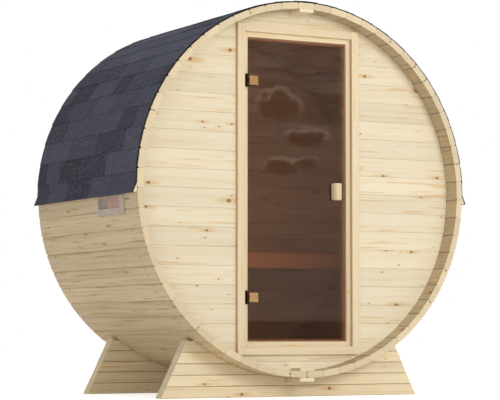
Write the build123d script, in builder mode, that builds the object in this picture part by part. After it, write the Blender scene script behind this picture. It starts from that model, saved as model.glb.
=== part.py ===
"""Barrel sauna: a round cabin of 61 staves on two cradles, with a glass door in its front wall.

Millimetres. +X to the right as seen from the front, +Y to the back, +Z up.
The origin is on the ground, under the middle of the barrel.
"""
from math import asin, atan, cos, degrees, radians, sin, sqrt, tan
import os

from build123d import *

os.makedirs("parts", exist_ok=True)

# Barrel
barrel_radius = 1080.0  # axis to the outer corner of a stave joint
barrel_length = 1392.0
stave_count = 61
stave_thickness = 37.0
stave_bevel = 6.5
tongue_width = 10.0  # tongue and groove in the mitred sides
tongue_depth = 8.0
tongue_clearance = 0.3
ground_clearance = 110.0
seat_clearance = 0.3  # kept where a curved edge seats on the staves
cut_overrun = 20.0

# End walls
wall_recess = 108.0  # barrel mouth to the outer face of the wall
wall_thickness = 36.0

# Stop blocks inside the barrel's mouth, and the keel batten under it
stop_block_width = 93.0
stop_block_height = 17.0
keel_width = 94.0
keel_height = 22.0

# Cradles
cradle_inset = 167.0  # barrel mouth to the cradle
cradle_thickness = 70.0
cradle_height = 323.0
cradle_landing = 43.0  # level top beside the saddle
cradle_spread = 162.0  # foot beyond the landing, each side
keel_notch_gap = 2.0

# Doorway: frame in the wall, casing boards over the joint
opening_width = 660.0
casing_corner_gap = 10.0  # casing corners to the staves, which sets the doorway's height
frame_face = 29.0  # frame showing inside the casing
frame_lap = 6.0  # frame hidden behind the casing
frame_depth = 52.0
stop_lip = 14.0  # rebate lip that the leaf closes against
casing_width = 46.0
casing_thickness = 23.0

# Glass leaf and its grips
glass_thickness = 8.0
glass_recess = 10.0  # frame face to glass
glass_gap = 6.0  # round the leaf
lip_gap = 5.0  # leaf to rebate lip
grip_width = 60.0
grip_depth = 44.0
grip_height = 100.0
grip_inset = 65.0  # doorway edge to the middle of a grip

# Hinges
hinge_inset = 252.0  # doorway head or sill to the middle of a hinge
hinge_leaf_width = 22.0
hinge_leaf_height = 76.0
hinge_leaf_thickness = 3.0
hinge_pin_diameter = 6.0
hinge_pin_clearance = 0.05
knuckle_diameter = 14.0
knuckle_height = 26.0  # middle knuckle, carried by the clamp
knuckle_gap = 0.5
knuckle_air = 1.0  # knuckle to hinge leaf
pin_inset = 6.0  # frame edge to pin axis
clamp_width = 58.0
clamp_height = 54.0
clamp_edge = 4.0  # frame edge to clamp
clamp_front_depth = 24.0
clamp_back_depth = 6.0
clamp_back_width = 34.0
clamp_corner = 4.0
clamp_bevel = 1.5
tongue_thickness = 8.0

# Roof shingles and the batten that flares their lower edge
ridge_width = 150.0
shingle_courses = 13
shingle_thin = 6.5
shingle_butt = 10.0
shingle_setback = 6.0
shingle_overhang = 4.0
eave_course_share = 0.5  # of the lowest course that lies above the batten
eave_stave = 15  # counted down from the ridge stave
eave_batten_top = 28.0  # below the middle of that stave
eave_batten_height = 50.0
eave_batten_depth = 20.0

# Vent in the left side
vent_opening_length = 274.0
vent_opening_height = 60.0
vent_opening_front = 235.0  # barrel mouth to opening
vent_eave_gap = 4.0  # eave batten to vent frame
vent_rail_top = 9.0
vent_rail_bottom = 38.0
vent_rail_front = 60.0
vent_rail_back = 14.0
vent_frame_thickness = 8.0
vent_shutter_length = 165.0
vent_shutter_thickness = 6.0

# Floor deck
floor_step = 5.0  # doorway bottom to deck
floor_board_width = 96.0
floor_board_gap = 10.0
floor_board_thickness = 28.0
floor_edge_gap = 25.0  # deck to staves
floor_end_gap = 5.0
floor_bearer_thickness = 38.0
floor_bearer_count = 3
floor_bearer_inset = 90.0

# Bench along the rear wall
bench_seat_height = 544.0  # above the deck
bench_board_width = 110.0
bench_board_gap = 12.0
bench_board_count = 4
bench_board_thickness = 28.0
bench_end_gap = 3.0
bench_wall_gap = 4.0
bench_front_height = 96.0
bench_front_thickness = 28.0
bench_ledger_thickness = 36.0
bench_bearer_width = 45.0
bench_bearer_spacing = 600.0
bench_bearer_count = 3

# Barrel section, worked out from its radius and staves
stave_angle = 360.0 / stave_count
half_angle = radians(stave_angle) / 2
outer_apothem = barrel_radius * cos(half_angle)
inner_apothem = outer_apothem - stave_thickness
inner_radius = inner_apothem - seat_clearance
axis_height = ground_clearance + barrel_radius
front_end = -barrel_length / 2
rear_end = barrel_length / 2

# Depths through the front wall
wall_front = front_end + wall_recess
wall_back = wall_front + wall_thickness
rear_wall_front = rear_end - wall_recess - wall_thickness
rear_wall_back = rear_end - wall_recess
frame_back = wall_front + frame_depth
glass_front = wall_front + glass_recess
glass_back = glass_front + glass_thickness
lip_front = glass_back + lip_gap

# Doorway about the barrel axis: as tall as the barrel lets its casing be
half_opening = opening_width / 2
casing_inner = half_opening + frame_face
casing_outer = casing_inner + casing_width
casing_outer_height = sqrt((inner_radius - casing_corner_gap) ** 2 - casing_outer**2)
casing_inner_height = casing_outer_height - casing_width
half_opening_height = casing_inner_height - frame_face
frame_outer = casing_inner + frame_lap
frame_outer_height = casing_inner_height + frame_lap


def section(rear_face):
    """Cross-section of the barrel about its axis: local x is right, local y is up."""
    return Plane(origin=(0, rear_face, axis_height), x_dir=(1, 0, 0), z_dir=(0, -1, 0))


def level(height):
    """Level plane at a height above or below the barrel axis."""
    return Plane.XY.offset(axis_height + height)


def on_stave(number, down, out):
    """Point on a right-hand stave: down its outer face from the middle, and out from that face."""
    turn = radians(stave_angle * number)
    reach = outer_apothem + out
    return (reach * sin(turn) + down * cos(turn), reach * cos(turn) - down * sin(turn))


def at_angle(angle, radius):
    """Point of the right half at an angle down from the top, in degrees."""
    return (radius * sin(radians(angle)), radius * cos(radians(angle)))


def on_faces(angle, out):
    """Point at an angle down from the top, a distance out from the flat stave face there."""
    from_middle = angle - stave_angle * round(angle / stave_angle)
    return at_angle(angle, (outer_apothem + out) / cos(radians(from_middle)))


def turned(point, angle):
    """Point turned about the barrel axis, anticlockwise in degrees."""
    return tuple(Vector(*point).rotate(Axis.Z, angle))[:2]


def write(builder, name):
    builder.part.label = name
    export_step(builder.part, f"parts/{name}.step")


def on_side(reach, inset):
    """Point on the groove side of the stave at the top: out along the mitre, and in from it."""
    return (
        -reach * sin(half_angle) + inset * cos(half_angle),
        reach * cos(half_angle) + inset * sin(half_angle),
    )


# Stave section: a wedge with mitred sides, a flat face and bevelled outer edges,
# with a groove in its left side and the next stave's tongue on its right
half_face = outer_apothem * tan(half_angle)
half_back = inner_apothem * tan(half_angle)
tongue_middle = (outer_apothem + inner_apothem) / 2 / cos(half_angle)
tongue_low = tongue_middle - tongue_width / 2
tongue_high = tongue_middle + tongue_width / 2
groove_depth = tongue_depth + tongue_clearance
with BuildSketch() as stave_section:
    with BuildLine():
        Polyline(
            (-half_back, inner_apothem),
            on_side(tongue_low - tongue_clearance, 0),
            on_side(tongue_low - tongue_clearance, groove_depth),
            on_side(tongue_high + tongue_clearance, groove_depth),
            on_side(tongue_high + tongue_clearance, 0),
            (-half_face + stave_bevel * tan(half_angle), outer_apothem - stave_bevel),
            (-half_face + stave_bevel, outer_apothem),
            (half_face - stave_bevel, outer_apothem),
            (half_face - stave_bevel * tan(half_angle), outer_apothem - stave_bevel),
            turned(on_side(tongue_high, 0), -stave_angle),
            turned(on_side(tongue_high, tongue_depth), -stave_angle),
            turned(on_side(tongue_low, tongue_depth), -stave_angle),
            turned(on_side(tongue_low, 0), -stave_angle),
            (half_back, inner_apothem),
            close=True,
        )
    make_face()

# Staves by quarter, every second one in a node, so that staves in a node stand apart.
# The vent's opening goes through every stave that it meets
vent_stave_number = eave_stave + 1
half_count = stave_count // 2
quarter_count = half_count // 2
stave_groups = {"ridge_stave": [0], "vent_stave": [-vent_stave_number]}
for side, sign in (("right", -1), ("left", 1)):
    for quarter, first, last in (("upper", 1, quarter_count), ("lower", quarter_count + 1, half_count)):
        for row, start in (("a", first), ("b", first + 1)):
            numbers = [-sign * number for number in range(start, last + 1, 2)]
            numbers = [number for number in numbers if number != -vent_stave_number]
            stave_groups[f"{side}_{quarter}_staves_{row}"] = numbers

vent_turn = radians(stave_angle * vent_stave_number)
vent_plane = Plane(
    origin=(-outer_apothem * sin(vent_turn), front_end, axis_height + outer_apothem * cos(vent_turn)),
    x_dir=(0, 1, 0),
    z_dir=(sin(vent_turn), 0, -cos(vent_turn)),
)
eave_bottom = eave_batten_top + eave_batten_height
vent_drop = eave_bottom + vent_eave_gap + vent_rail_top + vent_opening_height / 2 - 2 * half_face
vent_middle = (vent_opening_front + vent_opening_length / 2, -vent_drop)

for name, numbers in stave_groups.items():
    with BuildPart() as staves:
        with BuildSketch(section(rear_end)):
            for number in numbers:
                add(stave_section.sketch, rotation=-stave_angle * number)
        extrude(amount=barrel_length)
        with BuildSketch(vent_plane.offset(-cut_overrun)):
            with Locations(vent_middle):
                Rectangle(vent_opening_length, vent_opening_height)
        extrude(amount=stave_thickness + 2 * cut_overrun, mode=Mode.SUBTRACT)
    write(staves, name)

# Stop blocks: under the ridge stave, and over the lowest stave joint
block_half = stop_block_width / 2
low_joint = inner_apothem / cos(half_angle)
low_edge = low_joint - block_half * tan(half_angle)
for end, rear_face in (("front", wall_front), ("rear", rear_end)):
    with BuildPart() as top_block:
        with BuildSketch(section(rear_face)):
            with Locations((0, inner_apothem - stop_block_height / 2)):
                Rectangle(stop_block_width, stop_block_height)
        extrude(amount=wall_recess)
    write(top_block, f"{end}_top_block")
    with BuildPart() as bottom_block:
        with BuildSketch(section(rear_face)):
            with BuildLine():
                Polyline(
                    (0, -low_joint),
                    (block_half, -low_edge),
                    (block_half, -low_edge + stop_block_height),
                    (-block_half, -low_edge + stop_block_height),
                    (-block_half, -low_edge),
                    close=True,
                )
            make_face()
        extrude(amount=wall_recess)
    write(bottom_block, f"{end}_bottom_block")

# Keel batten under the lowest joint
with BuildPart() as keel_batten:
    with BuildSketch(section(rear_end)):
        with Locations((0, -barrel_radius - keel_height / 2)):
            Rectangle(keel_width, keel_height)
    extrude(amount=barrel_length)
write(keel_batten, "keel_batten")

# Cradles: trapezoid panels with a round saddle and a notch for the keel
saddle_radius = barrel_radius + seat_clearance
cradle_top = cradle_height - axis_height
cradle_top_half = sqrt(saddle_radius**2 - cradle_top**2) + cradle_landing
cradle_foot_half = cradle_top_half + cradle_spread
for name, rear_face in (
    ("front_cradle", front_end + cradle_inset + cradle_thickness),
    ("rear_cradle", rear_end - cradle_inset),
):
    with BuildPart() as cradle:
        with BuildSketch(section(rear_face)):
            with BuildLine():
                Polyline(
                    (-cradle_foot_half, -axis_height),
                    (cradle_foot_half, -axis_height),
                    (cradle_top_half, cradle_top),
                    (-cradle_top_half, cradle_top),
                    close=True,
                )
            make_face()
            Circle(saddle_radius, mode=Mode.SUBTRACT)
            with Locations((0, -barrel_radius)):
                Rectangle(
                    keel_width + 2 * keel_notch_gap,
                    2 * (keel_height + keel_notch_gap),
                    mode=Mode.SUBTRACT,
                )
        extrude(amount=cradle_thickness)
    write(cradle, name)

# Front wall in four panels round the doorway, and the whole rear wall
side_panel = inner_radius - frame_outer
end_panel = inner_radius - frame_outer_height
wall_panels = {
    "front_wall_left": (-frame_outer - side_panel / 2, 0, side_panel, 2 * inner_radius),
    "front_wall_right": (frame_outer + side_panel / 2, 0, side_panel, 2 * inner_radius),
    "front_wall_top": (0, frame_outer_height + end_panel / 2, 2 * frame_outer, end_panel),
    "front_wall_bottom": (0, -frame_outer_height - end_panel / 2, 2 * frame_outer, end_panel),
}
for name, (across, up, width, height) in wall_panels.items():
    with BuildPart() as panel:
        with BuildSketch(section(wall_back)):
            Circle(inner_radius)
            with Locations((across, up)):
                Rectangle(width, height, mode=Mode.INTERSECT)
        extrude(amount=wall_thickness)
    write(panel, name)

with BuildPart() as rear_wall:
    with BuildSketch(section(rear_wall_back)):
        Circle(inner_radius)
    extrude(amount=wall_thickness)
write(rear_wall, "rear_wall")

# Casing boards on the wall: posts full height, head and sill between them
for name, across in (
    ("casing_post_left", -casing_inner - casing_width / 2),
    ("casing_post_right", casing_inner + casing_width / 2),
):
    with BuildPart() as post:
        with BuildSketch(section(wall_front)):
            with Locations((across, 0)):
                Rectangle(casing_width, 2 * casing_outer_height)
        extrude(amount=casing_thickness)
    write(post, name)

for name, up in (
    ("casing_head", casing_inner_height + casing_width / 2),
    ("casing_sill", -casing_inner_height - casing_width / 2),
):
    with BuildPart() as board:
        with BuildSketch(section(wall_front)):
            with Locations((0, up)):
                Rectangle(2 * casing_inner, casing_width)
        extrude(amount=casing_thickness)
    write(board, name)

# Door frame with a rebate: jambs full height, head and sill between them
stile_width = frame_outer - half_opening
rail_height = frame_outer_height - half_opening_height
lip_depth = frame_back - lip_front
for name, sign in (("jamb_left", -1), ("jamb_right", 1)):
    with BuildPart() as jamb:
        with BuildSketch(section(frame_back)):
            with Locations((sign * (half_opening + stile_width / 2), 0)):
                Rectangle(stile_width, 2 * frame_outer_height)
        extrude(amount=frame_depth)
        with BuildSketch(section(frame_back)):
            with Locations((sign * (half_opening - stop_lip / 2), 0)):
                Rectangle(stop_lip, 2 * frame_outer_height)
        extrude(amount=lip_depth)
    write(jamb, name)

for name, sign in (("frame_head", 1), ("frame_sill", -1)):
    with BuildPart() as rail:
        with BuildSketch(section(lip_front)):
            with Locations((0, sign * (half_opening_height + rail_height / 2))):
                Rectangle(opening_width, rail_height)
        extrude(amount=lip_front - wall_front)
        with BuildSketch(section(frame_back)):
            with Locations((0, sign * (half_opening_height + (rail_height - stop_lip) / 2))):
                Rectangle(opening_width - 2 * stop_lip, rail_height + stop_lip)
        extrude(amount=lip_depth)
    write(rail, name)

# Glass leaf
with BuildPart() as door_glass:
    with BuildSketch(section(glass_back)):
        Rectangle(opening_width - 2 * glass_gap, 2 * (half_opening_height - glass_gap))
    extrude(amount=glass_thickness)
write(door_glass, "door_glass")

# Hinges: leaf, two knuckles and pin on the frame; clamp with the middle knuckle on the glass
hinge_height = half_opening_height - hinge_inset
pin_across = -half_opening - pin_inset
pin_depth = wall_front - hinge_leaf_thickness - knuckle_air - knuckle_diameter / 2
clamp_left = -half_opening + clamp_edge
outer_knuckle_start = knuckle_height / 2 + knuckle_gap
for place, height in (("upper", hinge_height), ("lower", -hinge_height)):
    with BuildPart() as hinge_leaf:
        with BuildSketch(section(wall_front)):
            with Locations((-half_opening - hinge_leaf_width / 2, height)):
                Rectangle(hinge_leaf_width, hinge_leaf_height)
        extrude(amount=hinge_leaf_thickness)
        for start in (outer_knuckle_start, -hinge_leaf_height / 2):
            with BuildSketch(level(height + start)):
                with Locations((pin_across, pin_depth)):
                    Circle(knuckle_diameter / 2)
                with Locations((pin_across, (pin_depth + wall_front) / 2)):
                    Rectangle(knuckle_diameter, wall_front - pin_depth)
            extrude(amount=hinge_leaf_height / 2 - outer_knuckle_start)
        with BuildSketch(level(height - hinge_leaf_height / 2)):
            with Locations((pin_across, pin_depth)):
                Circle(hinge_pin_diameter / 2)
        extrude(amount=hinge_leaf_height)
    write(hinge_leaf, f"{place}_hinge_leaf")

    with BuildPart() as hinge_clamp:
        with BuildSketch(section(glass_front)):
            with Locations((clamp_left + clamp_width / 2, height)):
                RectangleRounded(clamp_width, clamp_height, clamp_corner)
        extrude(amount=clamp_front_depth)
        chamfer(faces().sort_by(Axis.Y)[0].edges(), clamp_bevel)
        with BuildSketch(level(height - knuckle_height / 2)):
            with Locations((pin_across, pin_depth)):
                Circle(knuckle_diameter / 2)
            with Locations(((pin_across + clamp_left) / 2, pin_depth)):
                Rectangle(clamp_left - pin_across, tongue_thickness)
            with Locations((pin_across, pin_depth)):
                Circle(hinge_pin_diameter / 2 + hinge_pin_clearance, mode=Mode.SUBTRACT)
        extrude(amount=knuckle_height)
        with BuildSketch(section(glass_back + clamp_back_depth)):
            with Locations((clamp_left + clamp_width - clamp_back_width / 2, height)):
                Rectangle(clamp_back_width, clamp_height)
        extrude(amount=clamp_back_depth)
    write(hinge_clamp, f"{place}_hinge_clamp")

# Half-round grips on both faces of the glass
grip_centre = half_opening - grip_inset
for name, face, sign in (("outer_grip", glass_front, -1), ("inner_grip", glass_back, 1)):
    with BuildPart() as grip:
        with BuildSketch(level(-grip_height / 2)):
            with Locations((grip_centre, face)):
                Ellipse(grip_width / 2, grip_depth)
            with Locations((grip_centre, face + sign * grip_depth)):
                Rectangle(grip_width, 2 * grip_depth, mode=Mode.INTERSECT)
        extrude(amount=grip_height)
    write(grip, name)

# Eave battens: wedges on both sides that flare the lowest shingles
with BuildPart() as right_eave_batten:
    with BuildSketch(section(rear_end - shingle_setback)):
        with BuildLine():
            Polyline(
                on_stave(eave_stave, eave_batten_top, 0),
                on_stave(eave_stave, eave_bottom, 0),
                on_stave(eave_stave, eave_bottom, eave_batten_depth),
                close=True,
            )
        make_face()
    extrude(amount=barrel_length - 2 * shingle_setback)
write(right_eave_batten, "right_eave_batten")

with BuildPart() as left_eave_batten:
    mirror(right_eave_batten.part, about=Plane.YZ)
write(left_eave_batten, "left_eave_batten")

# Shingle roof: lapped courses down each side from a ridge strip, each thicker at its lower edge
roof_radius = barrel_radius + seat_clearance
stave_joints = [stave_angle * (number + 1 / 2) for number in range(eave_stave)]
ridge_angle = degrees(asin((ridge_width / 2 + seat_clearance) / barrel_radius))
batten_angle = stave_angle * eave_stave + degrees(atan(eave_batten_top / outer_apothem))
course_angle = (batten_angle - ridge_angle) / (shingle_courses - 1 + eave_course_share)
course_edges = [ridge_angle + course_angle * course for course in range(shingle_courses)]
eave_down = eave_bottom + shingle_overhang
eave_out = eave_batten_depth * (1 + shingle_overhang / eave_batten_height) + seat_clearance
roof_length = barrel_length - 2 * shingle_setback

ridge_half = [joint for joint in stave_joints if joint < ridge_angle] + [ridge_angle]
ridge_bends = [-bend for bend in reversed(ridge_half)] + ridge_half
with BuildPart() as ridge_shingles:
    with BuildSketch(section(rear_end - shingle_setback)):
        with BuildLine():
            Polyline(
                *[on_faces(bend, seat_clearance) for bend in ridge_bends],
                *[on_faces(bend, seat_clearance + shingle_butt) for bend in reversed(ridge_bends)],
                close=True,
            )
        make_face()
    extrude(amount=roof_length)
write(ridge_shingles, "ridge_shingles")

with BuildPart() as right_roof_shingles:
    with BuildSketch(section(rear_end - shingle_setback)):
        with BuildLine():
            courses = []
            for edge in course_edges[:-1]:
                courses.append(at_angle(edge, roof_radius + shingle_thin))
                courses.append(at_angle(edge + course_angle, roof_radius + shingle_butt))
            courses.append(at_angle(course_edges[-1], roof_radius + shingle_thin))
            courses.append(at_angle(batten_angle, roof_radius + shingle_thin))
            courses.append(on_stave(eave_stave, eave_down, eave_out + shingle_butt))
            underside = [on_faces(joint, seat_clearance) for joint in stave_joints if joint > ridge_angle]
            Polyline(
                on_faces(ridge_angle, seat_clearance),
                *underside,
                on_faces(batten_angle, seat_clearance),
                on_stave(eave_stave, eave_down, eave_out),
                *reversed(courses),
                close=True,
            )
        make_face()
    extrude(amount=roof_length)
write(right_roof_shingles, "right_roof_shingles")

with BuildPart() as left_roof_shingles:
    mirror(right_roof_shingles.part, about=Plane.YZ)
write(left_roof_shingles, "left_roof_shingles")

# Vent: frame on the outside of the vent stave, shutter in the front part of its opening
frame_length = vent_opening_length + vent_rail_front + vent_rail_back
frame_height = vent_opening_height + vent_rail_top + vent_rail_bottom
frame_middle = (
    vent_middle[0] + (vent_rail_back - vent_rail_front) / 2,
    vent_middle[1] + (vent_rail_top - vent_rail_bottom) / 2,
)
with BuildPart() as vent_frame:
    with BuildSketch(vent_plane):
        with Locations(frame_middle):
            Rectangle(frame_length, frame_height)
        with Locations(vent_middle):
            Rectangle(vent_opening_length, vent_opening_height, mode=Mode.SUBTRACT)
    extrude(amount=-vent_frame_thickness)
write(vent_frame, "vent_frame")

with BuildPart() as vent_shutter:
    with BuildSketch(vent_plane):
        with Locations((vent_opening_front + vent_shutter_length / 2, vent_middle[1])):
            Rectangle(vent_shutter_length - 2 * seat_clearance, vent_opening_height - 2 * seat_clearance)
    extrude(amount=vent_shutter_thickness)
write(vent_shutter, "vent_shutter")

# Floor deck: boards from front to back on round-bottomed bearers
deck_top = -half_opening_height - floor_step
deck_bottom = deck_top - floor_board_thickness
deck_front = frame_back + floor_end_gap
deck_back = rear_wall_front - floor_end_gap
deck_half = sqrt(inner_radius**2 - deck_bottom**2) - floor_edge_gap
floor_pitch = floor_board_width + floor_board_gap
floor_board_count = int((2 * deck_half + floor_board_gap) // floor_pitch)
with BuildPart() as floor_deck:
    with BuildSketch(section(deck_back)):
        with Locations((0, deck_top - floor_board_thickness / 2)):
            with GridLocations(floor_pitch, 0, floor_board_count, 1):
                Rectangle(floor_board_width, floor_board_thickness)
    extrude(amount=deck_back - deck_front)
write(floor_deck, "floor_deck")

bearer_pitch = (deck_back - deck_front - 2 * floor_bearer_inset) / (floor_bearer_count - 1)
with BuildPart() as floor_bearers:
    for bearer in range(floor_bearer_count):
        middle = deck_front + floor_bearer_inset + bearer * bearer_pitch
        with BuildSketch(section(middle + floor_bearer_thickness / 2)):
            Circle(inner_radius)
            with Locations((0, deck_bottom - inner_radius / 2)):
                Rectangle(2 * inner_radius, inner_radius, mode=Mode.INTERSECT)
        extrude(amount=floor_bearer_thickness)
write(floor_bearers, "floor_bearers")

# Bench: seat boards from side to side, on bearers between a front board and a ledger
seat_top = deck_top + bench_seat_height
seat_bottom = seat_top - bench_board_thickness
seat_depth = bench_board_count * (bench_board_width + bench_board_gap)
seat_back = rear_wall_front - bench_wall_gap
seat_front = seat_back - seat_depth
seat_half = sqrt(inner_radius**2 - seat_bottom**2) - bench_end_gap
with BuildPart() as bench_seat:
    with BuildSketch(level(seat_bottom)):
        for board in range(bench_board_count):
            back = seat_back - board * (bench_board_width + bench_board_gap)
            with Locations((0, back - bench_board_width / 2)):
                Rectangle(2 * seat_half, bench_board_width)
    extrude(amount=bench_board_thickness)
write(bench_seat, "bench_seat")

bench_bottom = seat_top - bench_front_height
bearer_height = seat_bottom - bench_bottom
for name, rear_face, top, thickness in (
    ("bench_front_board", seat_front, seat_top, bench_front_thickness),
    ("bench_ledger", rear_wall_front, seat_bottom, bench_ledger_thickness),
):
    with BuildPart() as board:
        with BuildSketch(section(rear_face)):
            Circle(inner_radius)
            with Locations((0, (top + bench_bottom) / 2)):
                Rectangle(2 * inner_radius, top - bench_bottom, mode=Mode.INTERSECT)
        extrude(amount=thickness)
    write(board, name)

with BuildPart() as bench_bearers:
    with BuildSketch(section(rear_wall_front - bench_ledger_thickness)):
        with Locations((0, seat_bottom - bearer_height / 2)):
            with GridLocations(bench_bearer_spacing, 0, bench_bearer_count, 1):
                Rectangle(bench_bearer_width, bearer_height)
    extrude(amount=rear_wall_front - bench_ledger_thickness - seat_front)
write(bench_bearers, "bench_bearers")
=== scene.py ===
import random
from math import asin, atan, ceil, cos, floor, pi, radians, sin, sqrt, tan

import bmesh
import bpy
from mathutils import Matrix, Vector


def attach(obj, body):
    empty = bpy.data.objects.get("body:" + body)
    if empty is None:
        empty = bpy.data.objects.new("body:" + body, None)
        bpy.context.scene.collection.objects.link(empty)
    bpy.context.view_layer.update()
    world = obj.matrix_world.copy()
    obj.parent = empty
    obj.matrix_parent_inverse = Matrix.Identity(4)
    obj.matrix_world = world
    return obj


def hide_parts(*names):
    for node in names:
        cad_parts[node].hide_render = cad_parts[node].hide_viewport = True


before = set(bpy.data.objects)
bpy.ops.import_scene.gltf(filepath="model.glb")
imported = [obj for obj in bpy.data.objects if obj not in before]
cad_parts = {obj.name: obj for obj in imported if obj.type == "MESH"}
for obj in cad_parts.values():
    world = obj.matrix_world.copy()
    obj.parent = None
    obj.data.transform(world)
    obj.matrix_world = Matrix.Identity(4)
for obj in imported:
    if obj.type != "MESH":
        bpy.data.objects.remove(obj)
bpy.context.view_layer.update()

axisX, axisY, axisZ = 0, 1, 2  # across the cabin, along it and up
square, endOn, slanted = 0.9, 0.8, 0.3  # how near a normal is to an axis: facing it, a sawn end, slanting
straight = 0.99  # an edge this near to an axis runs along it
touch, hair, speck, past = 0.001, 0.0005, 0.0001, 0.1  # small margins, and how far tools reach past a piece

# Measures that several pieces share, in metres
barrel = {
    "radius": 1.08, "staves": 61, "thickness": 0.037, "axis": 1.19, "front": -0.696, "rear": 0.696,
    "setIn": 0.108, "wall": 0.036, "seat": 0.0003, "eaveStave": 15,
}
staveTurn = 2 * pi / barrel["staves"]
halfTurn, halfCount = staveTurn / 2, barrel["staves"] // 2
outerFlat = barrel["radius"] * cos(halfTurn)
innerFlat = outerFlat - barrel["thickness"]
halfFace = outerFlat * tan(halfTurn)
innerRadius = innerFlat - barrel["seat"]
axisHeight = barrel["axis"]
outerTop, innerTop = axisHeight + outerFlat, axisHeight + innerFlat
barrelBase = axisHeight - barrel["radius"]
barrelFront, barrelRear = barrel["front"], barrel["rear"]
wallFront = barrelFront + barrel["setIn"]
rearWallBack = barrelRear - barrel["setIn"]
rearWallFront = rearWallBack - barrel["wall"]

doorway = {"half": 0.33, "frame": 0.029, "casing": 0.046, "corner": 0.01, "lap": 0.006}
halfWide = doorway["half"]
casingInner = halfWide + doorway["frame"]
casingOuter = casingInner + doorway["casing"]
casingTop = sqrt((innerRadius - doorway["corner"]) ** 2 - casingOuter ** 2)
casingInnerTop = casingTop - doorway["casing"]
halfTall = casingInnerTop - doorway["frame"]
frameOuter = casingInner + doorway["lap"]  # the frame reaches in behind the casing
frameOuterTop = casingInnerTop + doorway["lap"]


def clearSelection():
    if bpy.context.object and bpy.context.object.mode != "OBJECT":
        bpy.ops.object.mode_set(mode="OBJECT")
    bpy.ops.object.select_all(action="DESELECT")


def pick(piece):
    clearSelection()
    piece.select_set(True)
    bpy.context.view_layer.objects.active = piece


def nameIt(piece, name):
    piece.name = name
    piece.data.name = name
    return piece


def settle(piece, name):  # place, turn and scale go into the mesh
    pick(nameIt(piece, name))
    bpy.ops.object.transform_apply(location=True, rotation=True, scale=True)
    return piece


def addBox(name, low, high):
    clearSelection()
    middle = [(a + b) / 2 for a, b in zip(low, high)]
    size = [b - a for a, b in zip(low, high)]
    bpy.ops.mesh.primitive_cube_add(size=1, location=middle, scale=size)
    return settle(bpy.context.object, name)


def addRound(name, radius, length, middle, sides, lying=False):  # upright, or lying along the barrel
    clearSelection()
    turn = (pi / 2 if lying else 0, 0, 0)
    bpy.ops.mesh.primitive_cylinder_add(vertices=sides, radius=radius, depth=length, location=middle, rotation=turn)
    return settle(bpy.context.object, name)


def barrelTool(radius, middle):  # a long drum on the barrel's axis, to cut with
    length = barrelRear - barrelFront
    return addRound("barrelTool", radius, length, (0, middle, axisHeight), 4 * barrel["staves"], lying=True)


def turnTo(piece, number):  # from the top of the barrel round to a stave
    bpy.context.scene.cursor.location = (0, 0, axisHeight)
    pick(piece)
    bpy.ops.object.origin_set(type="ORIGIN_CURSOR")
    piece.rotation_euler = (0, staveTurn * number, 0)
    return settle(piece, piece.name)


def openEdit(piece, kind, *tests):  # picks the parts that pass every test
    pick(piece)
    bpy.ops.object.mode_set(mode="EDIT")
    bpy.ops.mesh.select_mode(type=kind)
    bpy.ops.mesh.select_all(action="DESELECT")
    shape = bmesh.from_edit_mesh(piece.data)
    for part in {"VERT": shape.verts, "EDGE": shape.edges, "FACE": shape.faces}[kind]:
        if all(test(part) for test in tests):
            part.select_set(True)
    shape.select_flush_mode()
    bmesh.update_edit_mesh(piece.data)


def closeEdit():
    bpy.ops.object.mode_set(mode="OBJECT")


def runsAlong(edge, axis):
    a, b = edge.verts[0].co, edge.verts[1].co
    return abs((b - a).normalized()[axis]) > straight


def edgeMiddle(edge):
    return (edge.verts[0].co + edge.verts[1].co) / 2


def along(axis):  # tests that pick edges
    return lambda edge: runsAlong(edge, axis)


def notAlong(axis):
    return lambda edge: not runsAlong(edge, axis)


def above(level, axis=axisZ):
    return lambda edge: edgeMiddle(edge)[axis] > level


def below(level, axis=axisZ):
    return lambda edge: edgeMiddle(edge)[axis] < level


def sharp(edge):
    return edge.calc_face_angle(0) > 1


def bevelEdges(piece, width, segments=1, *tests):
    openEdit(piece, "EDGE", *tests)
    bpy.ops.mesh.bevel(offset=width, segments=segments, affect="EDGES")
    closeEdit()


def dissolveEdges(piece, test):
    openEdit(piece, "EDGE", test)
    bpy.ops.mesh.dissolve_edges()
    closeEdit()


def moveCorners(piece, test, step):
    openEdit(piece, "VERT", test)
    bpy.ops.transform.translate(value=step)
    closeEdit()


def cutAt(piece, point, normal, trim=False):  # the side that the normal points to goes when trimmed
    openEdit(piece, "VERT")
    bpy.ops.mesh.bisect(plane_co=point, plane_no=normal, use_fill=trim, clear_outer=trim)
    closeEdit()


def pullFaces(piece, test, step):
    openEdit(piece, "FACE", test)
    bpy.ops.mesh.extrude_region_move(TRANSFORM_OT_translate={"value": step})
    closeEdit()


def copyOf(piece, name):
    pick(piece)
    bpy.ops.object.duplicate()
    return nameIt(bpy.context.object, name)


def drop(piece):
    pick(piece)
    bpy.ops.object.delete()


def joinAll(pieces, name):
    pick(pieces[0])
    for piece in pieces:
        piece.select_set(True)
    if len(pieces) > 1:
        bpy.ops.object.join()
    return nameIt(bpy.context.object, name)


def carve(piece, tool, operation="DIFFERENCE"):
    pick(piece)
    cut = piece.modifiers.new("carve", "BOOLEAN")
    cut.object, cut.operation, cut.solver = tool, operation, "EXACT"
    bpy.ops.object.modifier_apply(modifier="carve")
    drop(tool)


def tidyMesh(piece, smooth=None):
    openEdit(piece, "VERT")
    bpy.ops.mesh.remove_doubles(threshold=0.00001)
    bpy.ops.mesh.normals_make_consistent(inside=False)
    closeEdit()
    if smooth:
        pick(piece)
        bpy.ops.object.shade_smooth_by_angle(angle=radians(smooth))
        even = piece.modifiers.new("even", "WEIGHTED_NORMAL")  # wide faces stay flat beside their rounded edges
        even.keep_sharp = True
        bpy.ops.object.modifier_apply(modifier="even")
    return piece


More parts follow.
